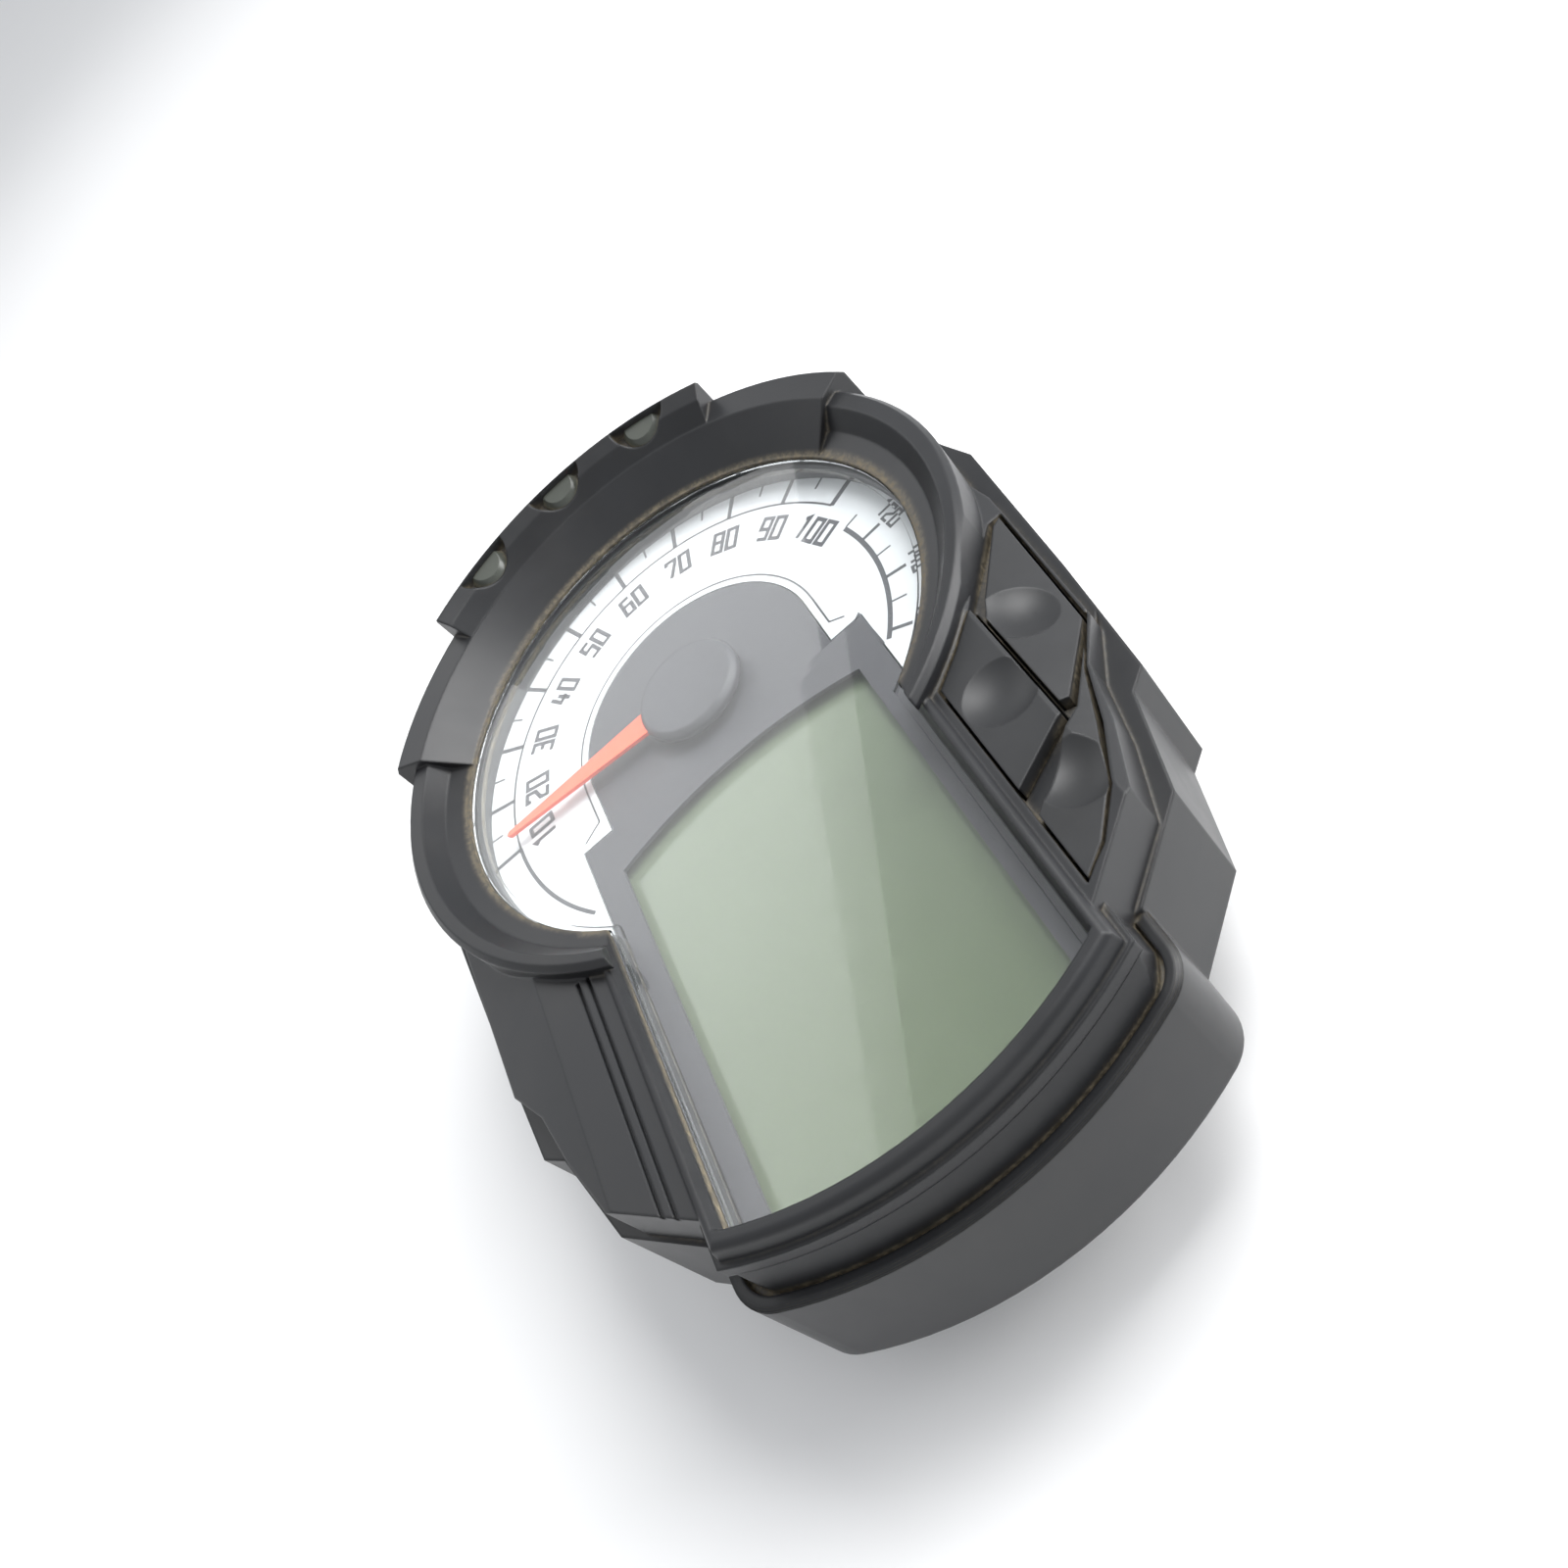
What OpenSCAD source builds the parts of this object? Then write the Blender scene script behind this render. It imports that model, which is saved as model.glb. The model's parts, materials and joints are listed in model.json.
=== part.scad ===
// Instrument cluster: analogue pointer dial over a liquid crystal display, three side buttons,
// three indicator lamps above the dial, for the dash of an all-terrain vehicle or snow machine.
// Origin: centre of the four rear mounting inserts, on their faces. +Z points out of the dial
// towards the rider, +Y towards the indicator lamps, +X to the rider's right.

/* [Case] */
// Height of the dial face above the rear mounting faces
dial_z = 46; // [46:0.5:50]
// Distance from the mount centre up to the dial centre
dial_y = 25; // [23:0.5:27]
// Wall thickness of the front bezel
bezel_wall = 2.5; // [2.2:0.1:2.6]
// Wall thickness of the rear housing
housing_wall = 2.2; // [2:0.1:2.4]

/* [Window] */
// Radius of the round window over the dial
window_r = 50; // [49.5:0.1:50.5]
// Half the width of the display window
window_hw = 31; // [30.6:0.1:31.2]

/* [Mounts] */
// Distance between the mounting inserts, left to right
mount_dx = 70; // [66:1:72]
// Distance between the mounting inserts, top to bottom
mount_dy = 90; // [86:1:94]
// Radius of the hole in each mounting insert
mount_hole_r = 2.1; // [1.6:0.1:2.5]

/* [Movement] */
// Angle of the pointer, clockwise from twelve o'clock
pointer_angle = -87; // [-106:1:120]
// Running clearance between each gear shaft and its bearing
shaft_gap = 0.05; // [0.03:0.01:0.08]
// How far a button goes in
button_travel = 0.6; // [0.3:0.1:0.6]

/* [Hidden] */
$fn = 96;
eps = 0.01;

// Outlines, drawn about the dial centre. Right halves run from the bottom to the top.
arc_y = -37;            // centre of the curved lower ends
window_end_r = 72;      // lower end of the window
seat = 1.6;             // how far the lens seat reaches past the window
lip_r = 76.8;           // foot of the lip round the display
lip_hw = 35.8;
lip_c = 12;             // radius of the corners of its foot
lip_lean = 2.4;         // slope of the lip's face, foot to crest
lip_round = 1.3;        // rounding of its crest
sill_r = 79.5;          // lower end of the sill below the lip
sill_hw = 38.3;
sill_c = 8.2;
rim_w = 2.2;            // width of the rim on the sill
// Its rounded crest, in steps: how far in and how far below the crest each step starts
RIM_STEPS = [[0, 0.7], [0.12, 0.4], [0.35, 0.15], [0.7, 0]];
skirt_r = 64;
TRIM = [[38, -95.5], [51.5, -83.5], [56.8, -64.4], [60.3, -61.5], [62.6, -33.6], [65, 5], [60, 22]];
TUB = [[28, -96], [41, -84], [46.5, -62], [50, -34], [53, 0], [50, 20]];
SHOULDER = [[33, -98.6], [47, -86.4], [51.6, -73], [54.5, -60.3], [59.7, -50.5], [61.5, -12], [57, 14]];
UPPER = [[49, -65.5], [58.4, -50.4], [60.2, -18.5], [58.4, -20.3], [47.6, -41], [47.6, -65.5]];
MIDDLE = [[35.4, -74.5], [46.6, -68], [46.6, -38.6], [41, -44.2], [35.4, -48.8]];
LOWER = [[35.4, -94], [39.6, -90.8], [45, -84], [49.4, -72.6], [53.2, -61.4], [55.4, -57], [49, -68],
  [35.4, -80.5]];
BAY = [[34.9, -94.6], [39.9, -91.4], [45.6, -84.3], [50.2, -73], [54, -60.6], [59.2, -50.4],
  [60.9, -17.5], [58, -19], [46.4, -38.2], [40.8, -43.6], [34.9, -48.3]];
GUIDE = [[36.6, -82.2], [45.4, -82.2], [48.2, -71], [50.4, -62], [56.2, -48.6], [57.2, -26],
  [51, -24.5], [44.5, -31.8], [44.2, -34.5], [36.6, -43]];
PRESS = [[51.8, -43.7], [42.2, -57.2], [43.6, -78.6]];   // where each button is pressed
GUIDE_SCREWS = [[47.2, -32.4], [41.3, -73.1]];
HOUSING_POSTS = [[-27, -66], [27, -66], [-26, 23], [26, 23]];

// Heights, from the dial face
ledge_z = 6.3;          // underside of the bezel over the lens
edge_z = 6.9;           // upper edge of the window opening
lip_z = 9.4;
shoulder_z = 8.4;
ring_z = 11.6;
hood_z = 13.2;
trim_z = -2;
sill_z = -4.1;
rim_z = -2.9;           // top of the thin rims on the sill
skirt_z = -25.5;        // lower edge of the bezel
seal_top = -18.5;
seal_bottom = -20;
rear_z = -41.5;         // outside of the rear wall
flange_z = -24;         // underside of the rear housing's flange
screw_z = -27.5;        // under the case screws' heads
boss_z = -30;           // lower ends of the bosses round them
tub_r = 53;
board_top = -16.4;
board_h = 1.6;
lens_top = 6.4;
flange_top = 5.3;
flange_h = 2;
deep = 60;              // longer than any cut needs

// Ring and hood, drawn in section
ring_y = 2.5;           // the ring's outer circle sits a little above the dial centre
ring_r = 61.2;
ring_crest_r = 57.6;
hood_in_r = 58.6;
hood_out_r = 65;
hood_span = 124;
pod_span = 66;
pod_face_r = 61.8;
pod_face_z = 16.8;
pod_out_r = 65.4;
pod_out_z = 18.5;
face_low_r = 50.4;
well_r = 6.7;           // indicator wells
well_tilt = 20;
well_at = [66.6, 16.6]; // radius and height of the middle of a well's floor
well_angle = 19.5;
pod_back_r = 64.9;      // inner face of the wall behind the wells
pipe_r = 1.8;           // light pipes
pipe_low_at = 56.2;
pipe_high_at = 63;

// Case fixings
screw_angles = [-7, 48, 132, 187];
screw_pcd_r = 57;
low_screw = [38.3, -86.1];
column_r = 3.5;
CASE_SCREWS = concat([for (a = screw_angles) screw_pcd_r * [cos(a), sin(a)]],
  [low_screw, [-low_screw[0], low_screw[1]]]);
BOARD_SCREWS = [[-30, 28], [30, 28], [-30, -99], [30, -99]];

// Gear train
big_module = 0.4;
small_module = 0.3;
wheel_teeth = 50;
pinion_teeth = 10;
pressure = 25;
tooth_slack = 0.035;    // taken off each tooth flank
middle_x = big_module * (wheel_teeth + pinion_teeth) / 2;
rotor_dir = 75;
rotor_reach = small_module * (wheel_teeth + pinion_teeth) / 2;
rotor_at = [middle_x + rotor_reach * cos(rotor_dir), rotor_reach * sin(rotor_dir)];
motor_z = -16.3;
motor_x0 = -12.5;
motor_x1 = 27.5;
motor_y0 = -11.5;
motor_y1 = 18.5;
motor_split = -10.6;
motor_top = -7.6;
output_r = 1;
gear_shaft_r = 0.6;

// Small parts
glass_h = 2.8;
display_z = -2.3;
button_skin = 3;
guide_top = -5.4;
button_board_top = -12.8;
switch_h = 3.5;
dish_r = 13;            // finger dishes
dish_h = 1.7;
plunger_r = 1.7;
plunger_h = 2.5;
stem_end_z = guide_top - 3;     // lower ends of the buttons' stems, on the switch plungers
plunger_z = stem_end_z - plunger_h;
stem_r = 2;
pin_pitch = 3;

function mirrored(p) = concat(p, [for (i = [len(p) - 1:-1:0]) [-p[i][0], p[i][1]]]);
function unit(v) = v / norm(v);
function inward(v) = [-v[1], v[0]];
function corner(a, b, c, t) = let (n = inward(unit(b - a)), m = inward(unit(c - b)))
  b + (n + m) * t / (1 + n * m);
// A closed outline moved inwards by t. Its points run anticlockwise.
function inset(p, t) = [for (i = [0:len(p) - 1])
  corner(p[(i + len(p) - 1) % len(p)], p[i], p[(i + 1) % len(p)], t)];

module on_dial(z = 0) { translate([0, dial_y, dial_z + z]) children(); }

module slab(z0, z1) { translate([0, 0, z0]) linear_extrude(z1 - z0) children(); }

module window(t = 0) {
  circle(r = window_r - t);
  intersection() {
    translate([t - window_hw, -120]) square([2 * (window_hw - t), 120]);
    translate([0, arc_y]) circle(r = window_end_r - t);
  }
}

// Half the angle that a curved lower end spans between its corners, and the height of their centres
function end_turn(hw, r, c) = asin((hw - c) / (r - c));
function corner_y(hw, r, c) = arc_y - (r - c) * cos(end_turn(hw, r, c));

// A curved lower end with corners of radius c, moved inwards by t
module end_block(hw, r, c, t, top) {
  x = (r - t) * sin(end_turn(hw, r, c));
  y = corner_y(hw, r, c);
  intersection() {
    translate([-x, -130]) square([2 * x, 130 + top]);
    translate([0, arc_y]) circle(r = r - t);
  }
  translate([t - hw, y]) square([2 * (hw - t), top - y]);
  for (s = [-1, 1]) translate([s * (hw - c), y]) circle(r = c - t);
}

// Face and crest of the lip, for a foot that reaches this far out at the sill
function lip_face(reach) = let (lean = atan(lip_lean / (lip_z - sill_z)), z = lip_z - lip_round,
  x = reach - (lip_round + sin(lean) * (z - sill_z)) / cos(lean))
  concat([[reach + 2 * tan(lean), sill_z - 2]],
    [for (k = [0:5]) let (a = lean + (90 - lean) * k / 5) [x + lip_round * cos(a), z + lip_round * sin(a)]]);

module lip() {
  intersection() {
    translate([0, arc_y, 0]) rotate_extrude()
      polygon(concat([[0, sill_z - 2]], lip_face(lip_r), [[0, lip_z]]));
    translate([0, -42, 0]) rotate([90, 0, 0]) linear_extrude(80) polygon(mirrored(lip_face(lip_hw)));
    slab(sill_z - 3, lip_z + 1) end_block(lip_hw + 0.5, lip_r + 0.5, lip_c, 0, -41);
  }
}

module trim_top(t = 0) {
  polygon(inset(mirrored(TRIM), t));
  circle(r = skirt_r - t);
}

module trim_outline(t = 0) {
  trim_top(t);
  end_block(sill_hw, sill_r, sill_c, t, -60);
}

// Section of the shoulders beside the display, moved down by drop
module shoulder_section(drop) {
  polygon([[-75, -40], [75, -40], [75, -4.9 - drop], [46, shoulder_z - drop],
    [-46, shoulder_z - drop], [-75, -4.9 - drop]]);
}

module shoulder_solid(drop, t) {
  intersection() {
    translate([0, 20, 0]) rotate([90, 0, 0]) linear_extrude(120) shoulder_section(drop);
    slab(-20, 20) polygon(inset(mirrored(SHOULDER), t));
  }
}

// Everything under a surface that follows the right shoulder, at drop below it
module under_shoulder(drop) {
  translate([0, 20, 0]) rotate([90, 0, 0]) linear_extrude(130) shoulder_section(drop);
}

module sector(span) {
  rotate([0, 0, 90 - span / 2]) rotate_extrude(angle = span) children();
}

module hood() {
  sector(hood_span)
    polygon([[face_low_r, edge_z], [hood_in_r, hood_z], [hood_out_r - 0.6, hood_z + 0.4],
      [hood_out_r + 0.6, hood_z - 1], [hood_out_r + 1.2, 4], [62, -3], [face_low_r, ledge_z]]);
}

module pod() {
  sector(pod_span)
    polygon([[hood_in_r - 0.6, hood_z - 1], [pod_face_r, pod_face_z], [pod_out_r - 0.3, pod_out_z],
      [pod_out_r + 0.3, pod_out_z - 0.8], [pod_out_r + 0.8, 8], [hood_in_r - 0.6, 8]]);
}

module well_frame(angle) {
  rotate([0, 0, -angle]) translate([0, well_at[0], well_at[1]]) rotate([well_tilt, 0, 0]) children();
}

module well(angle) {
  intersection() {
    well_frame(angle) cylinder(r = well_r, h = 12);
    cylinder(r = pod_back_r, h = deep);
  }
}

// Channel from the case up to one indicator well
module lamp_channel(angle, gap) {
  rotate([0, 0, -angle]) {
    translate([0, pipe_low_at, -15]) cylinder(r = pipe_r + gap, h = 20 + gap);
    translate([0, pipe_high_at, 3.2 - gap]) cylinder(r = pipe_r - 0.2 + gap, h = 11.3 + 3 * gap);
    translate([-pipe_r - gap, pipe_low_at, 3.2 - gap])
      cube([2 * (pipe_r + gap), pipe_high_at - pipe_low_at, 1.8 + 2 * gap]);
  }
}

module bezel_outside() {
  slab(skirt_z, trim_z) trim_top();
  slab(skirt_z, sill_z) end_block(sill_hw, sill_r, sill_c, 0, -60);
  for (s = RIM_STEPS) slab(sill_z - 0.5, rim_z - s[1]) difference() {
    end_block(sill_hw, sill_r, sill_c, s[0], -88);
    end_block(sill_hw, sill_r, sill_c, rim_w, -80);
  }
  lip();
  difference() {
    shoulder_solid(0, 0);
    for (x = [-38.9, -36.9]) slab(shoulder_z - 0.7, 20) translate([x, -120]) square([0.6, 74]);
  }
  translate([0, ring_y, skirt_z]) cylinder(r = ring_r, h = ring_z - 1 - skirt_z);
  translate([0, ring_y, ring_z - 1]) cylinder(r1 = ring_r, r2 = ring_r - 1, h = 1);
}

module bezel_cavity() {
  slab(skirt_z - 1, seal_top) trim_outline(bezel_wall);
  slab(seal_top - eps, seal_top + 2) trim_outline(bezel_wall + housing_wall + 0.3);
  slab(seal_top + 1, trim_z - bezel_wall - 2.5) trim_outline(bezel_wall);
  slab(-10, 3.3) translate([0, ring_y]) circle(r = ring_r - bezel_wall);
  slab(-10, 3.3) window(-seat);
  shoulder_solid(button_skin + 1.2, bezel_wall);
}

module guide_posts() {
  for (p = GUIDE_SCREWS) translate([p[0], p[1], guide_top]) cylinder(r = 2, h = 10);
}

module case_columns() {
  for (p = CASE_SCREWS) translate([p[0], p[1], -19.8]) cylinder(r = column_r, h = 24.2);
}

module front_bezel() {
  color([0.13, 0.13, 0.14]) on_dial() difference() {
    union() {
      difference() {
        bezel_outside();
        bezel_cavity();
        translate([0, ring_y * 0.5, 0]) rotate_extrude()
          polygon([[0, edge_z], [window_r + 0.6, edge_z], [ring_crest_r - 3, edge_z + 1.3],
            [ring_crest_r, ring_z + 0.1], [ring_crest_r, 30], [0, 30]]);
        difference() {
          slab(-10, 40) polygon(BAY);
          under_shoulder(2.2);
        }
        slab(-10, 40) for (p = [UPPER, MIDDLE, LOWER]) polygon(inset(p, -0.4));
      }
      hood();
      pod();
      guide_posts();
      case_columns();
      slab(3.3, 5.9) difference() { window(-4); window(-seat); }
    }
    slab(ledge_z - eps, 40) window();
    slab(3, ledge_z) window(-seat);
    intersection() {
      translate([0, -60, 0]) rotate([90, 0, 0]) linear_extrude(130, center = true)
        polygon([[-window_hw - 1.2, lip_z + 0.2], [-window_hw, lip_z - 1.6], [window_hw, lip_z - 1.6],
          [window_hw + 1.2, lip_z + 0.2]]);
      slab(0, 20) translate([0, arc_y]) circle(r = window_end_r - 0.2);
    }
    for (a = [-1, 0, 1]) {
      well(a * well_angle);
      lamp_channel(a * well_angle, 0.2);
    }
    for (p = CASE_SCREWS) translate([p[0], p[1], -20]) cylinder(r = 1.25, h = 12);
    for (p = GUIDE_SCREWS) translate([p[0], p[1], guide_top - 1]) cylinder(r = 0.85, h = 6);
  }
}

module window_lens() {
  color([0.85, 0.9, 0.9, 0.4]) on_dial() difference() {
    union() {
      slab(flange_top - flange_h, flange_top) window(0.3 - seat);
      slab(flange_top - flange_h, lens_top) window(0.25);
      intersection() {
        slab(flange_top - 1, 12) intersection() {
          window(0.25);
          translate([-29.6, -120]) square([59.2, 112]);
        }
        rotate([90, 0, 90]) linear_extrude(80, center = true)
          polygon([[0, flange_top - 1], [-110, flange_top - 1], [-110, lip_z - 1.2],
            [0, lens_top - 0.4]]);
      }
    }
    slab(flange_top - flange_h - 1, flange_top - 0.9) window(1.6);
  }
}

module lens_gasket() {
  color([0.08, 0.08, 0.08]) on_dial() slab(flange_top, ledge_z) difference() {
    window(0.3 - seat);
    window(-0.3);
  }
}

module keyhole(t = 0) {
  hw = window_hw + seat - 0.3 - t;
  circle(r = 25.5 - t);
  translate([t - 25.5, -14]) square([2 * (25.5 - t), 14]);
  intersection() {
    translate([-hw, -120]) square([2 * hw, 107 - t]);
    window(t + 0.3 - seat);
  }
}

module display_opening(t = 0) {
  intersection() {
    translate([t - 26.7, -120]) square([2 * (26.7 - t), 110]);
    translate([0, -106.6]) circle(r = 87 - t);
    translate([0, arc_y]) circle(r = window_end_r - 1 - t);
  }
}

module dial_plate() {
  color([0.93, 0.94, 0.93]) on_dial() slab(-0.8, 0) difference() {
    circle(r = window_r + 2.6);
    keyhole(-0.3);
    translate([-60, -100]) square([120, 58]);
  }
}

module display_mask() {
  color([0.5, 0.52, 0.55]) on_dial() slab(-0.8, 0) difference() {
    keyhole();
    display_opening();
    circle(r = 2.2);
  }
}

module dial_surround() {
  color([0.25, 0.26, 0.27]) on_dial() slab(0.05, flange_top - flange_h - 0.05) difference() {
    window(0.3 - seat);
    window(0.2);
  }
}

module pointer() {
  color([0.95, 0.3, 0.12]) on_dial() rotate([0, 0, -pointer_angle]) {
    slab(2.4, 3.2) polygon([[-3, 5], [3, 5], [0.6, 43.6], [0, 44.2], [-0.6, 43.6]]);
    difference() {
      translate([0, 0, 1.2]) cylinder(r = 3.4, h = 2);
      translate([0, 0, 1]) cylinder(r = output_r, h = 1.4);
    }
    translate([0, 0, 1.9]) cylinder(r = 6, h = 1);
  }
}

module pointer_hub_cap() {
  color([0.3, 0.31, 0.34]) on_dial() difference() {
    translate([0, 0, 1.4]) rotate_extrude()
      polygon([[0, 0], [10.4, 0], [10.8, 0.4], [10.8, 1.6], [10, 2.5], [0, 2.6]]);
    translate([0, 0, 1.9]) cylinder(r = 6, h = 1);
    translate([0, 0, 1.2]) cylinder(r = 3.4, h = 2);
    rotate([0, 0, -pointer_angle]) slab(2.4, 3.2) polygon([[-3, 5], [3, 5], [2.68, 12], [-2.68, 12]]);
  }
}

module display_glass() {
  color([0.5, 0.58, 0.47]) on_dial() slab(display_z - glass_h, display_z) intersection() {
    translate([-28.4, -107]) square([56.8, 89]);
    translate([0, arc_y]) circle(r = window_end_r - 1.6);
  }
}

module display_diffuser() {
  color([0.95, 0.95, 0.92]) on_dial() slab(-8.6, display_z - glass_h - 0.1)
    translate([-27.4, -96]) square([54.8, 73.6]);
}

module display_frame() {
  color([0.9, 0.9, 0.88]) on_dial() difference() {
    slab(board_top + 0.1, display_z - 0.1) intersection() {
      window(0.8);
      translate([-30.2, -108]) square([60.4, 90.6]);
    }
    slab(display_z - glass_h - 0.05, 0) display_seat();
    slab(-8.7, 0) translate([-27.5, -96.1]) square([55, 73.8]);
    slab(-20, -10.2) translate([-27.5, -95]) square([55, 71.5]);
    for (y = [-99, -22.4]) slab(-20, 0) translate([-26.6, y]) square([53.2, 3]);
    for (p = BOARD_SCREWS) translate([p[0], p[1], -20]) cylinder(r = 3, h = 20);
  }
}

module display_seat() {
  intersection() {
    translate([-28.5, -107.1]) square([57, 89.2]);
    translate([0, arc_y]) circle(r = window_end_r - 1.5);
  }
}

module display_contact_strips() {
  color([0.2, 0.2, 0.2]) on_dial() for (y = [-98.7, -21.6])
    slab(board_top, display_z - glass_h - 0.02) translate([-26.4, y]) square([52.8, 1.8]);
}

module dial_light_guide() {
  color([0.9, 0.95, 0.95, 0.7]) on_dial() slab(-3.6, -0.9) difference() {
    circle(r = window_r - 2.4);
    circle(r = 23);
    translate([-60, -100]) square([120, 87]);
  }
}

module dial_carrier() {
  color([0.92, 0.92, 0.9]) on_dial() difference() {
    union() {
      slab(board_top + 0.1, -0.9) difference() { window(0.3 - seat); window(0.6); }
      for (p = BOARD_SCREWS) translate([p[0], p[1], board_top + 0.1]) cylinder(r = 2.8, h = 10);
      slab(-5.6, -4) difference() { circle(r = window_r); circle(r = 44); carrier_gap(); }
      for (a = [43, 137]) rotate([0, 0, a]) slab(board_top + 0.1, -4)
        translate([42, -0.8]) square([8.5, 1.6]);
    }
    for (p = BOARD_SCREWS) translate([p[0], p[1], board_top - 1]) cylinder(r = 0.85, h = 9);
    slab(-3.7, 0) circle(r = window_r - 2.3);
  }
}

module carrier_gap() { translate([-60, -100]) square([120, 80]); }

module main_board() {
  color([0.1, 0.35, 0.2]) on_dial() slab(board_top - board_h, board_top) difference() {
    union() {
      window(-1.3);
      intersection() { circle(r = 58.4); translate([-26, 40]) square([52, 30]); }
    }
    for (p = BOARD_SCREWS) translate([p[0], p[1]]) circle(r = 1.3);
    for (p = CASE_SCREWS) translate([p[0], p[1]]) circle(r = column_r + 0.4);
    circle(r = 2);
  }
}

module pan_screw(r, length, head_r, head_h) {
  translate([0, 0, -head_h]) difference() {
    cylinder(r = head_r, h = head_h);
    for (a = [0, 90]) rotate([0, 0, a]) translate([-head_r * 0.6, -0.3, -1])
      cube([head_r * 1.2, 0.6, 1 + head_h * 0.5]);
  }
  translate([0, 0, -eps]) cylinder(r = r, h = length);
}

module board_screws() {
  color([0.75, 0.75, 0.77]) on_dial(board_top - board_h) for (p = BOARD_SCREWS)
    translate([p[0], p[1], 0]) pan_screw(0.85, 8, 2.3, 1.5);
}

// Involute gear, drawn about its own centre with a tooth on the X axis
function involute(rb, r) = sqrt(max(0, pow(r / rb, 2) - 1)) * 180 / PI - acos(min(1, rb / r));
function flank(rb, half, r) = r * [cos(half - involute(rb, r)), sin(half - involute(rb, r))];
module gear(m, teeth, head, foot) {
  rp = m * teeth / 2;
  rb = rp * cos(pressure);
  half = 90 / teeth - tooth_slack / rp * 180 / PI + involute(rb, rp);
  r_low = max(rb, rp - foot * m);
  radii = [for (k = [0:3]) r_low + (rp + head * m - r_low) * k / 3];
  root = rp - foot * m;
  upper = [for (k = [3:-1:0]) flank(rb, half, radii[k])];
  lower = [for (k = [0:3]) let (q = flank(rb, half, radii[k])) [q[0], -q[1]]];
  foot_a = atan2(upper[3][1], upper[3][0]);
  tooth = concat([root * [cos(foot_a), -sin(foot_a)]], lower, upper,
    [root * [cos(foot_a), sin(foot_a)]]);
  polygon([for (i = [0:teeth - 1]) for (q = tooth) let (a = 360 * i / teeth)
    [q[0] * cos(a) - q[1] * sin(a), q[0] * sin(a) + q[1] * cos(a)]]);
}

module motor_case_outline(t = 0) {
  r = 3;
  x0 = motor_x0 + t + r;
  x1 = motor_x1 - t - r;
  y0 = motor_y0 + t + r;
  y1 = motor_y1 - t - r;
  translate([x0 - r, y0]) square([x1 - x0 + 2 * r, y1 - y0]);
  translate([x0, y0 - r]) square([x1 - x0, y1 - y0 + 2 * r]);
  for (x = [x0, x1]) for (y = [y0, y1]) translate([x, y]) circle(r = r);
}

module motor_base() {
  color([0.9, 0.9, 0.86]) on_dial() difference() {
    union() {
      difference() {
        slab(motor_z, motor_split) motor_case_outline();
        slab(motor_z + 1, 0) motor_case_outline(1);
      }
      for (p = [[-2.3, 14], [23.5, 14]]) translate([p[0], p[1], motor_z + 0.5])
        cylinder(r = 0.8, h = -12.7 - motor_z - 0.5);
    }
    translate([0, 0, motor_z - 1]) cylinder(r = output_r + shaft_gap, h = 4);
    translate([middle_x, 0, motor_z - 1]) cylinder(r = gear_shaft_r + shaft_gap, h = 4);
    translate([rotor_at[0], rotor_at[1], motor_z - 1]) cylinder(r = gear_shaft_r + shaft_gap, h = 4);
  }
}

module motor_cover() {
  color([0.85, 0.86, 0.84]) on_dial() difference() {
    union() {
      slab(motor_split, motor_top) motor_case_outline();
      translate([0, 0, motor_top - 0.5]) cylinder(r = 3, h = 5.5);
    }
    slab(motor_split - 1, motor_top - 1) motor_case_outline(1);
    translate([0, 0, -20]) cylinder(r = output_r + shaft_gap, h = 20);
    translate([middle_x, 0, -20]) cylinder(r = gear_shaft_r + shaft_gap, h = 12.1);
    translate([rotor_at[0], rotor_at[1], -20]) cylinder(r = gear_shaft_r + shaft_gap, h = 12.1);
  }
}

module stator_outline() {
  translate([-3.5, 13]) square([28, 2]);
  translate(rotor_at) circle(r = 5.6);
  translate([22.5, 1.6]) square([2, 13.4]);
}

module motor_stator() {
  color([0.6, 0.6, 0.62]) on_dial() slab(-12.7, -11.7) difference() {
    stator_outline();
    translate(rotor_at) circle(r = 4);
  }
}

module coil(length) {
  difference() {
    union() {
      translate([0, 0, -length / 2]) cylinder(r = 2.3, h = length);
      for (s = [-1, 1]) translate([0, 0, s * (length / 2 - 0.35) - 0.35]) cylinder(r = 2.7, h = 0.7);
    }
    cube([2.2, 1.3, length + 2], center = true);
  }
}

module motor_coils() {
  color([0.72, 0.42, 0.2]) on_dial() {
    translate([3.4, 14, -12.2]) rotate([90, 0, 90]) coil(9);
    translate([23.5, 7, -12.2]) rotate([90, 90, 0]) rotate([0, 0, 90]) coil(9);
  }
}

// Turns that set teeth of two meeting gears into each other's gaps at rest
middle_turn = 180 + 180 / pinion_teeth;
wheel_to_rotor = rotor_dir - middle_turn;
rotor_turn = rotor_dir + 180 + 180 / pinion_teeth
  + (wheel_to_rotor - round(wheel_to_rotor * wheel_teeth / 360) * 360 / wheel_teeth)
  * wheel_teeth / pinion_teeth;

module motor_output_gear() {
  color([0.95, 0.95, 0.92]) on_dial() {
    slab(-12.6, -11.6) gear(big_module, wheel_teeth, 0.7, 1.25);
    translate([0, 0, motor_z]) cylinder(r = output_r, h = 1 + 17.7);
    slab(-13.4, -11) circle(r = 2.2);
  }
}

module motor_middle_gear() {
  color([0.93, 0.93, 0.9]) on_dial() translate([middle_x, 0, 0]) rotate([0, 0, middle_turn]) {
    slab(-14.6, -13.8) gear(small_module, wheel_teeth, 0.7, 1.25);
    slab(-13.9, -11.2) gear(big_module, pinion_teeth, 1, 1);
    slab(motor_z + 0.1, -8) circle(r = gear_shaft_r);
    slab(-15.2, -14.5) circle(r = 1.6);
  }
}

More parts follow.
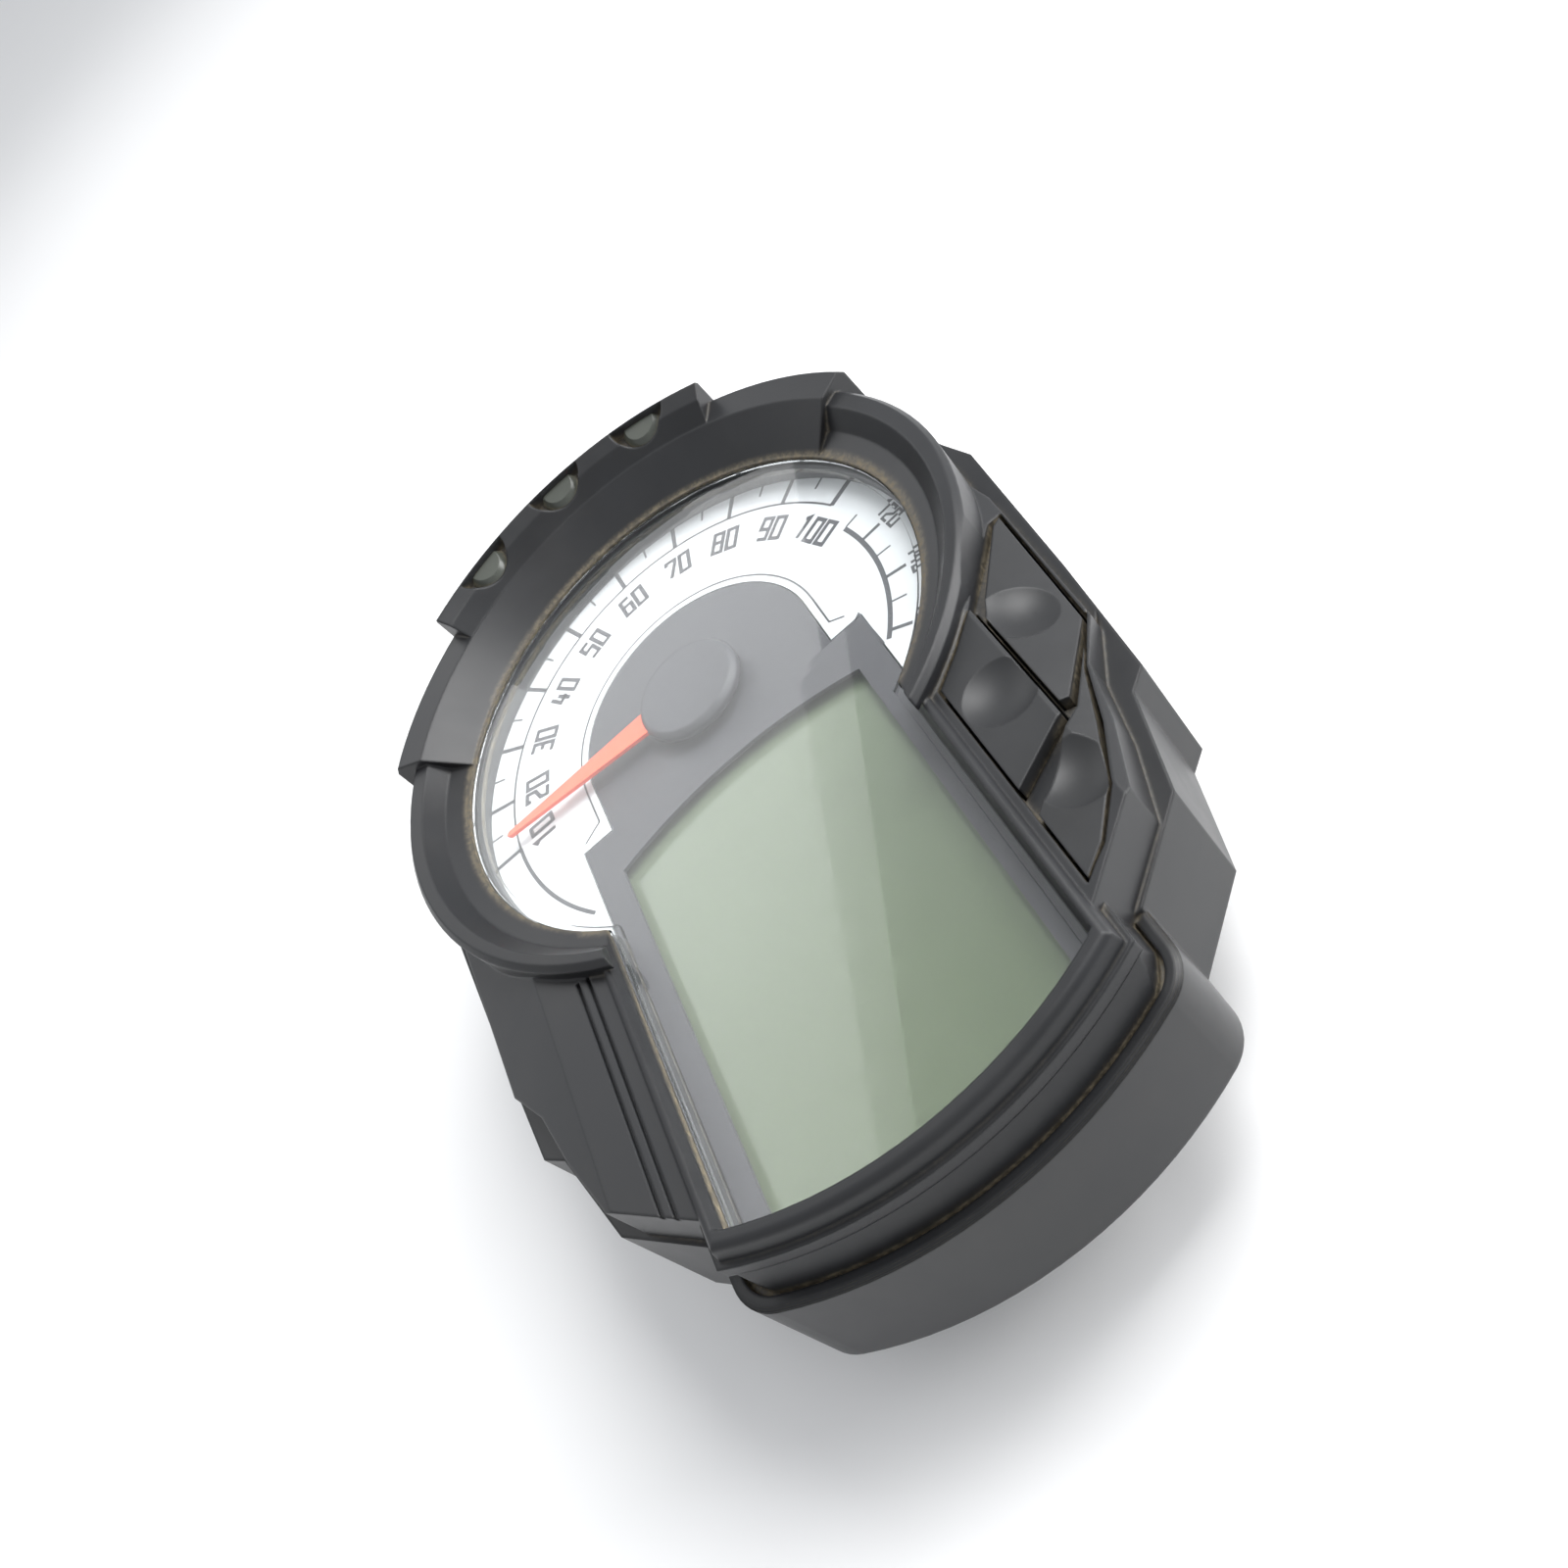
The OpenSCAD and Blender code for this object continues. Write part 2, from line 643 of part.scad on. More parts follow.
module motor_rotor() {
  color([0.35, 0.35, 0.37]) on_dial() translate([rotor_at[0], rotor_at[1], 0])
    rotate([0, 0, rotor_turn]) {
      slab(-14.9, -13.6) gear(small_module, pinion_teeth, 1, 1);
      slab(-13.6, -9.6) circle(r = 3.5);
      slab(motor_z + 0.1, -8) circle(r = gear_shaft_r);
    }
}

module chip(x, y, w, l, h) {
  translate([x - w / 2, y - l / 2, board_top - board_h - h]) cube([w, l, h]);
}

module leaded_chip(x, y, w, l, h, leads) {
  chip(x, y, w, l, h);
  for (i = [0:leads - 1]) for (s = [-1, 1]) {
    u = -w / 2 + w * (i + 0.5) / leads;
    translate([x + u - 0.15, y + s * (l / 2 + 0.45) - 0.5, board_top - board_h - 0.3])
      cube([0.3, 1, 0.3]);
  }
}

module microcontroller() { color([0.12, 0.12, 0.12]) on_dial() leaded_chip(-14, 22, 14, 14, 1.6, 16); }
module display_driver() { color([0.12, 0.12, 0.12]) on_dial() leaded_chip(0, -22, 12, 8, 1.4, 14); }

module power_parts() {
  color([0.2, 0.2, 0.22]) on_dial() {
    chip(20, -30, 10, 9, 2.4);
    chip(20, -36.6, 6, 3, 1);
    chip(6, -84, 7, 7, 3.2);
  }
}

module capacitors() {
  color([0.7, 0.72, 0.75]) on_dial(board_top - board_h) for (p = [[18, 12], [28, 8], [-24, -84]])
    translate([p[0], p[1], -7.5]) cylinder(r = 4, h = 7.5);
}

module dial_lamps() {
  color([0.98, 0.95, 0.7]) on_dial() for (i = [0:6]) rotate([0, 0, -30 + 40 * i])
    translate([38, 0, board_top]) translate([-1.5, -1.5, 0]) cube([3, 3, 1.6]);
}

module indicator_lamps() {
  color([0.98, 0.95, 0.7]) on_dial() for (a = [-1, 0, 1]) rotate([0, 0, -a * well_angle])
    translate([-1.5, pipe_low_at - 1.3, board_top]) cube([3, 2.6, 1.3]);
}

module light_pipe(angle) { on_dial() lamp_channel(angle, 0); }
module light_pipe_left() { color([0.9, 0.95, 0.98]) light_pipe(-well_angle); }
module light_pipe_centre() { color([0.9, 0.95, 0.98]) light_pipe(0); }
module light_pipe_right() { color([0.9, 0.95, 0.98]) light_pipe(well_angle); }

module indicator_lens(angle) {
  color([0.6, 0.64, 0.6]) on_dial() intersection() {
    well_frame(angle) translate([0, -1.9, 0.02]) cylinder(r1 = 4.7, r2 = 3.5, h = 1.2);
    cylinder(r = pod_back_r - 0.1, h = deep);
  }
}
module indicator_lens_left() { indicator_lens(-well_angle); }
module indicator_lens_centre() { indicator_lens(0); }
module indicator_lens_right() { indicator_lens(well_angle); }

// A button: a cap that follows the shoulder, with a finger dish, on a stem. The shoulder is top high
// there and slopes down to the right by tilt.
module button(outline, at, top, tilt) {
  color([0.1, 0.1, 0.11]) on_dial() {
    difference() {
      intersection() {
        slab(-10, 20) polygon(outline);
        difference() { under_shoulder(0); under_shoulder(button_skin); }
      }
      translate([at[0], at[1], top]) rotate([0, tilt, 0]) translate([0, 0, dish_r - dish_h])
        sphere(r = dish_r);
    }
    translate([at[0], at[1], stem_end_z]) cylinder(r = stem_r, h = top - 2.4 - stem_end_z);
  }
}

module upper_button() { button(UPPER, PRESS[0], 5.7, 24.6); }
module middle_button() { button(MIDDLE, PRESS[1], shoulder_z, 0); }
module lower_button() { button(LOWER, PRESS[2], shoulder_z, 0); }

module button_guide() {
  color([0.2, 0.2, 0.22]) on_dial() difference() {
    union() {
      slab(guide_top - 1.6, guide_top) polygon(GUIDE);
      for (p = GUIDE_SCREWS) translate([p[0], p[1], button_board_top])
        cylinder(r = 2, h = guide_top - 0.5 - button_board_top);
    }
    for (p = PRESS) translate([p[0], p[1], -20]) cylinder(r = stem_r + 0.06, h = 20);
    for (p = GUIDE_SCREWS) translate([p[0], p[1], -20]) cylinder(r = 1.1, h = 20);
  }
}

module button_board() {
  color([0.1, 0.35, 0.2]) on_dial() slab(button_board_top - 1.2, button_board_top) difference() {
    polygon(GUIDE);
    for (p = GUIDE_SCREWS) translate(p) circle(r = 1.1);
  }
}

module button_board_screws() {
  color([0.75, 0.75, 0.77]) on_dial(button_board_top - 1.2) for (p = GUIDE_SCREWS)
    translate([p[0], p[1], 0]) pan_screw(0.85, 12, 2, 1.3);
}

module button_switches() {
  color([0.15, 0.15, 0.15]) on_dial() for (p = PRESS) difference() {
    translate([p[0] - 3, p[1] - 3, button_board_top]) cube([6, 6, switch_h]);
    translate([p[0], p[1], plunger_z - button_travel - 0.1]) cylinder(r = plunger_r + 0.06, h = 5);
  }
}

module plunger(at) {
  color([0.6, 0.2, 0.15]) on_dial(plunger_z) translate(at) cylinder(r = plunger_r, h = plunger_h);
}
module upper_plunger() { plunger(PRESS[0]); }
module middle_plunger() { plunger(PRESS[1]); }
module lower_plunger() { plunger(PRESS[2]); }

// Flat ribbon between the button board and the main board
module button_ribbon() {
  color([0.8, 0.8, 0.75]) on_dial() {
    translate([33, -58, -21.2]) cube([7, 10, 0.3]);
    translate([39.7, -58, -21.2]) cube([0.3, 10, 7.2]);
    translate([29, -58, board_top - board_h - 3.2]) difference() {
      translate([0, -1, 0]) cube([5, 12, 3.2]);
      translate([4, 1, -1]) cube([2, 8, 1.02]);
    }
  }
}

module housing_outline(t = 0) { trim_outline(bezel_wall + 0.2 + t); }

// The deep part of the rear housing, inside its flange
module tub_outline(t = 0) {
  polygon(inset(mirrored(TUB), t));
  circle(r = tub_r - t);
}

module rear_housing() {
  color([0.11, 0.11, 0.12]) on_dial() difference() {
    union() {
      difference() {
        union() {
          slab(flange_z, seal_bottom) housing_outline();
          slab(rear_z + 3, flange_z + 1) tub_outline();
          slab(rear_z, rear_z + 3.1) tub_outline(2.5);
        }
        slab(rear_z + 2.2, 0) tub_outline(housing_wall + 1);
        slab(rear_z + 4, 0) tub_outline(housing_wall);
        slab(flange_z + 1.8, 0) housing_outline(housing_wall);
      }
      for (p = CASE_SCREWS) translate([p[0], p[1], boss_z]) cylinder(r = 4, h = seal_bottom - 0.1 - boss_z);
      for (x = [-1, 1]) for (y = [-1, 1])
        translate([x * mount_dx / 2, y * mount_dy / 2 - dial_y, -dial_z]) cylinder(r = 6, h = 12);
      for (p = HOUSING_POSTS) translate([p[0], p[1], rear_z + 1])
        cylinder(r = 2.6, h = board_top - board_h - rear_z - 1.05);
      slab(rear_z + 1, -28) translate([-20.5, -73.5]) square([41, 19]);
    }
    for (p = CASE_SCREWS) translate([p[0], p[1], boss_z - 1]) {
      cylinder(r = 1.8, h = 30);
      cylinder(r = 3.1, h = screw_z - boss_z + 1);
    }
    for (x = [-1, 1]) for (y = [-1, 1])
      translate([x * mount_dx / 2, y * mount_dy / 2 - dial_y, -dial_z - 1]) cylinder(r = 3.5, h = 10.5);
    slab(rear_z - 1, -20) translate([-19, -72]) square([38, 16]);
    translate([24, 2, rear_z - 1]) cylinder(r = 3, h = 6);
  }
}

module housing_seal() {
  color([0.05, 0.05, 0.05]) on_dial() slab(seal_bottom, seal_top) difference() {
    housing_outline(0.1);
    housing_outline(housing_wall);
    for (p = CASE_SCREWS) translate(p) circle(r = column_r + 0.1);
  }
}

module case_screws() {
  color([0.75, 0.75, 0.77]) on_dial(screw_z) for (p = CASE_SCREWS)
    translate([p[0], p[1], 0]) pan_screw(1.25, 16, 2.7, 2.2);
}

module mount_inserts() {
  color([0.8, 0.65, 0.3]) for (x = [-1, 1]) for (y = [-1, 1])
    translate([x * mount_dx / 2, y * mount_dy / 2, 0]) difference() {
      cylinder(r = 3.5, h = 9.5);
      translate([0, 0, -1]) cylinder(r = mount_hole_r, h = 9.5);
    }
}

module connector_shell() {
  color([0.1, 0.1, 0.1]) on_dial() difference() {
    union() {
      slab(rear_z - 3, -26.6) translate([-18.8, -71.8]) square([37.6, 15.6]);
      slab(-27.9, -26.6) translate([-20.4, -73.4]) square([40.8, 18.8]);
    }
    slab(rear_z - 4, -29.6) translate([-16.8, -69.8]) square([33.6, 11.6]);
    for (i = [-4.5:1:4.5]) for (s = [-1, 1])
      translate([i * pin_pitch - 0.33, -64 + s * 2.6 - 0.33, -35]) cube([0.66, 0.66, 12]);
  }
}

module connector_pins() {
  color([0.8, 0.7, 0.4]) on_dial() for (i = [-4.5:1:4.5]) for (s = [-1, 1])
    translate([i * pin_pitch - 0.32, -64 + s * 2.6 - 0.32, -40]) cube([0.64, 0.64, 40 + board_top - board_h]);
}

module breather_vent() {
  color([0.85, 0.85, 0.85]) on_dial() translate([24, 2, rear_z]) {
    cylinder(r = 3, h = 2.4);
    translate([0, 0, -1.6]) cylinder(r = 5.5, h = 1.6);
  }
}

front_bezel();
window_lens();
lens_gasket();
dial_plate();
display_mask();
dial_surround();
pointer();
pointer_hub_cap();
display_glass();
display_diffuser();
display_frame();
display_contact_strips();
dial_light_guide();
dial_carrier();
main_board();
board_screws();
motor_base();
motor_cover();
motor_stator();
motor_coils();
motor_rotor();
motor_middle_gear();
motor_output_gear();
microcontroller();
display_driver();
power_parts();
capacitors();
dial_lamps();
indicator_lamps();
light_pipe_left();
light_pipe_centre();
light_pipe_right();
indicator_lens_left();
indicator_lens_centre();
indicator_lens_right();
upper_button();
middle_button();
lower_button();
button_guide();
button_board();
button_board_screws();
button_switches();
upper_plunger();
middle_plunger();
lower_plunger();
button_ribbon();
rear_housing();
housing_seal();
case_screws();
mount_inserts();
connector_shell();
connector_pins();
breather_vent();
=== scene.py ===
import json
import math

import bmesh
import bpy
from mathutils import Matrix, Vector


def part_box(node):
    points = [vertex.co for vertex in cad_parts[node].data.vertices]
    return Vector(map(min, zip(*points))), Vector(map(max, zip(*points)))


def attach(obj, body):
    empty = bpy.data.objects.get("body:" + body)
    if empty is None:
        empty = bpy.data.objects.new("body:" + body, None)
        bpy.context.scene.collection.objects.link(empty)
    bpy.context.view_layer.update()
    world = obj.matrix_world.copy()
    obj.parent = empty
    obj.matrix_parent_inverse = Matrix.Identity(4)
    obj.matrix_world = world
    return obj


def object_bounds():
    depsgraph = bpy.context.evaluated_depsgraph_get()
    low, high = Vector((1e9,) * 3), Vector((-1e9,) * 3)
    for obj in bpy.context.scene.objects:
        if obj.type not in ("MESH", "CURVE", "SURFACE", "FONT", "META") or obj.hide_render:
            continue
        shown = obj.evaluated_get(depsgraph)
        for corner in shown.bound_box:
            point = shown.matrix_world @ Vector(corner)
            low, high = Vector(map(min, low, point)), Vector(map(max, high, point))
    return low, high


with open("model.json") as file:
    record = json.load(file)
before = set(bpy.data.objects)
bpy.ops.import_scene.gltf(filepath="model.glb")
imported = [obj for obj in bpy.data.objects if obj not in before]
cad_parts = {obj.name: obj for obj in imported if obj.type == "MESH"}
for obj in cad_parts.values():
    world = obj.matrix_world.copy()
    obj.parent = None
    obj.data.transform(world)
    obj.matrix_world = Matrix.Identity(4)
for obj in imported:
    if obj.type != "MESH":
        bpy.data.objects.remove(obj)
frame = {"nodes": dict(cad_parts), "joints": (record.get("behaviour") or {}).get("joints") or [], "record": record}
LOW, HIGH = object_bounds()
NODES = frame["nodes"]
MM = 0.001

# The pointer's axis is the middle of the dial, and the top of the dial plate is its face.
DIAL_X, DIAL_Y, _ = next(j for j in frame["joints"] if j["name"] == "pointer_turn")["pos_m"]
DIAL_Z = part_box("dial_plate")[1][2]


# ---------------------------------------------------------------- node helpers
class Graph:
    """Short names for building one material's nodes."""

    def __init__(self, name):
        self.material = bpy.data.materials.new(name)
        self.material.use_nodes = True
        self.tree = self.material.node_tree
        self.tree.nodes.clear()
        self.out = self.add("ShaderNodeOutputMaterial")
        self.shader = self.add("ShaderNodeBsdfPrincipled")
        self.tree.links.new(self.shader.outputs[0], self.out.inputs["Surface"])
        self.coords = self.add("ShaderNodeTexCoord").outputs["Object"]

    def add(self, kind, **settings):
        node = self.tree.nodes.new(kind)
        for key, value in settings.items():
            setattr(node, key, value)
        return node

    def link(self, source, target):
        if isinstance(source, (int, float, tuple, list)):
            target.default_value = source
        else:
            self.tree.links.new(source, target)

    def noise(self, scale, detail=3.0, rough=0.5, stretch=None):
        node = self.add("ShaderNodeTexNoise")
        vector = self.coords
        if stretch:
            mapping = self.add("ShaderNodeMapping")
            mapping.inputs["Scale"].default_value = stretch
            self.link(vector, mapping.inputs["Vector"])
            vector = mapping.outputs[0]
        self.link(vector, node.inputs["Vector"])
        node.inputs["Scale"].default_value = scale
        node.inputs["Detail"].default_value = detail
        node.inputs["Roughness"].default_value = rough
        return node.outputs["Fac"]

    def ramp(self, value, low, high, to_low=0.0, to_high=1.0):
        node = self.add("ShaderNodeMapRange")
        node.interpolation_type = "SMOOTHSTEP"
        self.link(value, node.inputs["Value"])
        for key, number in (("From Min", low), ("From Max", high), ("To Min", to_low), ("To Max", to_high)):
            node.inputs[key].default_value = number
        return node.outputs[0]

    def math(self, operation, a, b=0.0):
        node = self.add("ShaderNodeMath", operation=operation)
        self.link(a, node.inputs[0])
        self.link(b, node.inputs[1])
        return node.outputs[0]

    def mix(self, factor, a, b):
        node = self.add("ShaderNodeMix", data_type="RGBA")
        self.link(factor, node.inputs["Factor"])
        self.link(a, node.inputs["A"])
        self.link(b, node.inputs["B"])
        return node.outputs["Result"]

    def position(self):
        """Distances from the middle of the dial, in metres: across, up and out of its face."""
        node = self.add("ShaderNodeSeparateXYZ")
        self.link(self.coords, node.inputs[0])
        return (
            self.math("SUBTRACT", node.outputs[0], DIAL_X),
            self.math("SUBTRACT", node.outputs[1], DIAL_Y),
            self.math("SUBTRACT", node.outputs[2], DIAL_Z),
        )

    def bump(self, height, strength, distance=0.1 * MM, bevel=0.0):
        node = self.add("ShaderNodeBump")
        node.inputs["Strength"].default_value = strength
        node.inputs["Distance"].default_value = distance
        self.link(height, node.inputs["Height"])
        if bevel:
            rounded = self.add("ShaderNodeBevel", samples=6)
            rounded.inputs["Radius"].default_value = bevel
            self.link(rounded.outputs[0], node.inputs["Normal"])
        self.link(node.outputs[0], self.shader.inputs["Normal"])

    def set(self, **sockets):
        for key, value in sockets.items():
            self.shader.inputs[key.replace("_", " ")].default_value = value
        return self


def rgb(r, g, b):
    return (r, g, b, 1.0)


DUST = rgb(0.27, 0.225, 0.15)


def moulded(name, colour, roughness, grain=9000.0, dust=0.0, bevel=0.35 * MM, strength=0.18, shine=0.5):
    """Moulded plastic: fine grain, uneven gloss, and dust that gathers in creases."""
    g = Graph(name)
    cloud = g.noise(60.0, 4.0, 0.6)
    base = g.mix(g.ramp(cloud, 0.3, 0.7), rgb(*[c * 0.9 for c in colour]), rgb(*[c * 1.1 for c in colour]))
    rough = g.ramp(cloud, 0.25, 0.75, roughness - 0.03, roughness + 0.04)
    if dust:
        crease = g.add("ShaderNodeAmbientOcclusion", samples=8, only_local=False)
        crease.inputs["Distance"].default_value = 2.6 * MM
        hollow = g.ramp(crease.outputs["AO"], 0.66, 0.22)
        speck = g.ramp(g.noise(900.0, 5.0, 0.75), 0.35, 0.7)
        x, y, z = g.position()
        flat = g.math("SQRT", g.math("ADD", g.math("MULTIPLY", x, x), g.math("MULTIPLY", y, y)))
        brim = g.math("MULTIPLY", g.ramp(flat, 52.6 * MM, 50.6 * MM), g.ramp(z, 7.8 * MM, 6.8 * MM))
        brim = g.math("MULTIPLY", brim, g.ramp(z, 5 * MM, 6.2 * MM))
        amount = g.math("MAXIMUM", g.math("MULTIPLY", hollow, 0.75), g.math("MULTIPLY", brim, 0.6))
        grooves = g.math("MULTIPLY", g.ramp(x, -36 * MM, -36.5 * MM), g.ramp(z, 6.8 * MM, 7.4 * MM))
        amount = g.math("MULTIPLY", amount, g.math("SUBTRACT", 1.0, grooves))
        amount = g.math("MULTIPLY", amount, g.ramp(speck, 0.0, 1.0, 0.35, 1.0))
        amount = g.math("MULTIPLY", amount, dust)
        film = g.math("MULTIPLY", g.ramp(g.noise(25.0, 6.0, 0.7), 0.4, 0.8), 0.02 * dust)
        amount = g.math("MAXIMUM", amount, film)
        base = g.mix(amount, base, DUST)
        rough = g.math("MAXIMUM", rough, g.ramp(amount, 0.0, 0.6, 0.0, 0.9))
    g.link(base, g.shader.inputs["Base Color"])
    g.link(rough, g.shader.inputs["Roughness"])
    g.bump(g.noise(grain, 2.0, 0.6), strength, 0.05 * MM, bevel)
    return g.set(Specular_IOR_Level=shine).material


def printed(name, colour, roughness=0.5):
    """Screen-printed film: nearly even, with a faint orange-peel."""
    g = Graph(name)
    tone = g.ramp(g.noise(120.0, 3.0), 0.3, 0.7)
    g.link(g.mix(tone, rgb(*[c * 0.97 for c in colour]), rgb(*colour)), g.shader.inputs["Base Color"])
    g.link(g.ramp(g.noise(90.0), 0.3, 0.7, roughness - 0.03, roughness + 0.03), g.shader.inputs["Roughness"])
    g.bump(g.noise(900.0), 0.01, 0.01 * MM)
    return g.material


def clear_window(name):
    """Clear moulded window with a light film of dust and a few fine scratches."""
    g = Graph(name)
    wipes = g.noise(70.0, 6.0, 0.65, stretch=(1.0, 9.0, 1.0))
    g.link(g.ramp(wipes, 0.4, 0.75, 0.015, 0.07), g.shader.inputs["Roughness"])
    g.bump(g.noise(35.0, 2.0), 0.02, 0.1 * MM)
    g.set(Base_Color=rgb(0.98, 1.0, 1.0), IOR=1.49, Transmission_Weight=1.0)
    # Lamps shine straight through the window, so the dial below it is lit.
    clear = g.add("ShaderNodeBsdfTransparent")
    path = g.add("ShaderNodeLightPath")
    mix = g.add("ShaderNodeMixShader")
    g.link(path.outputs["Is Shadow Ray"], mix.inputs[0])
    g.link(g.shader.outputs[0], mix.inputs[1])
    g.link(clear.outputs[0], mix.inputs[2])
    g.link(mix.outputs[0], g.out.inputs["Surface"])
    return g.material


def metal(name, colour, roughness, stretch=(1.0, 1.0, 1.0)):
    g = Graph(name)
    grain = g.noise(600.0, 4.0, 0.6, stretch=stretch)
    base = g.mix(g.ramp(grain, 0.3, 0.7), rgb(*[c * 0.8 for c in colour]), rgb(*colour))
    g.link(base, g.shader.inputs["Base Color"])
    g.link(g.ramp(grain, 0.3, 0.7, roughness - 0.07, roughness + 0.1), g.shader.inputs["Roughness"])
    g.bump(grain, 0.1, 0.05 * MM)
    return g.set(Metallic=1.0).material


def crystal_display(name):
    """Unlit liquid crystal: grey green, with the pale cells of its unlit figures just showing."""
    g = Graph(name)
    x, y, _ = g.position()
    # Painted reflection: the display's colour is lighter towards its top end, where the window's pale sheen lies,
    # and darker towards its bottom end.
    painted_sheen_fade = g.ramp(g.math("ADD", y, g.math("MULTIPLY", g.noise(12.0, 2.0), 20 * MM)), -95 * MM, -20 * MM)
    base = g.mix(painted_sheen_fade, rgb(0.085, 0.108, 0.064), rgb(0.115, 0.14, 0.095))
    rows = g.math("PINGPONG", g.math("DIVIDE", g.math("ADD", x, 27 * MM), 0.9 * MM), 1.0)
    columns = g.math("PINGPONG", g.math("DIVIDE", g.math("ADD", y, 104 * MM), 0.9 * MM), 1.0)
    cells = g.math("MULTIPLY", g.ramp(rows, 0.1, 0.3), g.ramp(columns, 0.1, 0.3))
    base = g.mix(g.math("MULTIPLY", cells, 0.05), base, rgb(0.07, 0.09, 0.06))
    g.link(base, g.shader.inputs["Base Color"])
    g.link(g.ramp(g.noise(200.0), 0.3, 0.7, 0.14, 0.2), g.shader.inputs["Roughness"])
    g.bump(g.noise(300.0), 0.005, 0.01 * MM)
    return g.set(Coat_Weight=0.4, Coat_Roughness=0.1).material


CASE = moulded("BezelPlastic", (0.0130, 0.0137, 0.0155), 0.38, dust=1.0, bevel=0.7 * MM, shine=0.42)
KEYS = moulded("KeyPlastic", (0.0175, 0.0182, 0.0195), 0.42, dust=0.8, bevel=0.5 * MM, shine=0.42)
REAR = moulded("RearPlastic", (0.011, 0.0113, 0.012), 0.5, dust=0.4, shine=0.3)
RUBBER = moulded("SealRubber", (0.02, 0.02, 0.02), 0.75, dust=0.3)
SURROUND = moulded("SurroundPlastic", (0.05, 0.052, 0.054), 0.45)
WHITE = moulded("WhitePlastic", (0.75, 0.75, 0.72), 0.45)
NATURAL = moulded("NaturalPlastic", (0.72, 0.71, 0.64), 0.4)
RESIN = moulded("ChipResin", (0.02, 0.02, 0.021), 0.45, strength=0.3)
RED = moulded("PlungerPlastic", (0.35, 0.05, 0.03), 0.4)
RIBBON = moulded("RibbonCable", (0.6, 0.58, 0.5), 0.5)
LAMP = moulded("LampResin", (0.85, 0.7, 0.25), 0.25)
CLEAR = moulded("ClearPlastic", (0.7, 0.76, 0.76), 0.12)
CLEAR.node_tree.nodes["Principled BSDF"].inputs["Transmission Weight"].default_value = 0.8
INDICATOR = moulded("IndicatorLens", (0.06, 0.066, 0.056), 0.3, grain=2500.0, dust=0.9, bevel=0.3 * MM)
BOARD = moulded("CircuitBoard", (0.015, 0.11, 0.045), 0.3, grain=1500.0, strength=0.1)
STRIPES = moulded("ContactRubber", (0.06, 0.06, 0.065), 0.6)
VENT = moulded("VentCap", (0.6, 0.61, 0.61), 0.6)
HUB = moulded("HubPlastic", (0.040, 0.040, 0.046), 0.45, strength=0.03, bevel=1.2 * MM, shine=0.4)
MAGNET = moulded("Magnet", (0.06, 0.06, 0.062), 0.4)
DIAL = printed("DialPrint", (0.56, 0.575, 0.59))
MASK = printed("MaskPrint", (0.040, 0.040, 0.046), 0.5)
INK = printed("DialInk", (0.045, 0.046, 0.052), 0.5)
POINTER = printed("PointerPaint", (0.9, 0.085, 0.025), 0.35)
DISPLAY = crystal_display("CrystalDisplay")
WINDOW = clear_window("ClearWindow")
STEEL = metal("ZincSteel", (0.62, 0.62, 0.64), 0.32)
COPPER = metal("CopperWire", (0.72, 0.33, 0.14), 0.35, stretch=(1.0, 1.0, 8.0))
BRASS = metal("Brass", (0.78, 0.58, 0.26), 0.28)
CAN = metal("CapacitorCan", (0.7, 0.71, 0.73), 0.25)

BY_SLOT = {
    "case_plastic": CASE, "window": WINDOW, "seal_rubber": RUBBER, "dial_print": DIAL, "mask_print": MASK,
    "surround_plastic": SURROUND, "pointer_plastic": POINTER, "hub_plastic": HUB, "display_glass": DISPLAY,
    "white_plastic": WHITE, "contact_rubber": STRIPES, "clear_plastic": CLEAR, "circuit_board": BOARD,
    "screw_steel": STEEL, "motor_plastic": NATURAL, "stator_steel": STEEL, "copper_wire": COPPER,
    "magnet": MAGNET, "gear_plastic": WHITE, "chip_plastic": RESIN, "capacitor_can": CAN,
    "lamp_resin": LAMP, "indicator_plastic": INDICATOR, "button_plastic": KEYS, "plunger_plastic": RED,
    "ribbon": RIBBON, "insert_brass": BRASS, "pin_metal": BRASS, "vent_membrane": VENT,
}


def dress(ob, material):
    ob.data.materials.clear()
    ob.data.materials.append(material)


for part in frame["record"]["subparts"]:
    dress(NODES[part["node"]], BY_SLOT[part["material_slot"]])
dress(NODES["rear_housing"], REAR)


# ---------------------------------------------------------------- dial print
INK_LOW = 0.004 * MM
INK_HIGH = 0.03 * MM


def on_circle(radius, degrees):
    """A point on the dial, in millimetres from its middle. Degrees run clockwise from twelve o'clock."""
    a = math.radians(degrees)
    return Vector((radius * math.sin(a), radius * math.cos(a)))


def arc(radius, start, end, step=3.0):
    count = max(2, round(abs(end - start) / step))
    return [on_circle(radius, start + (end - start) * i / count) for i in range(count + 1)]


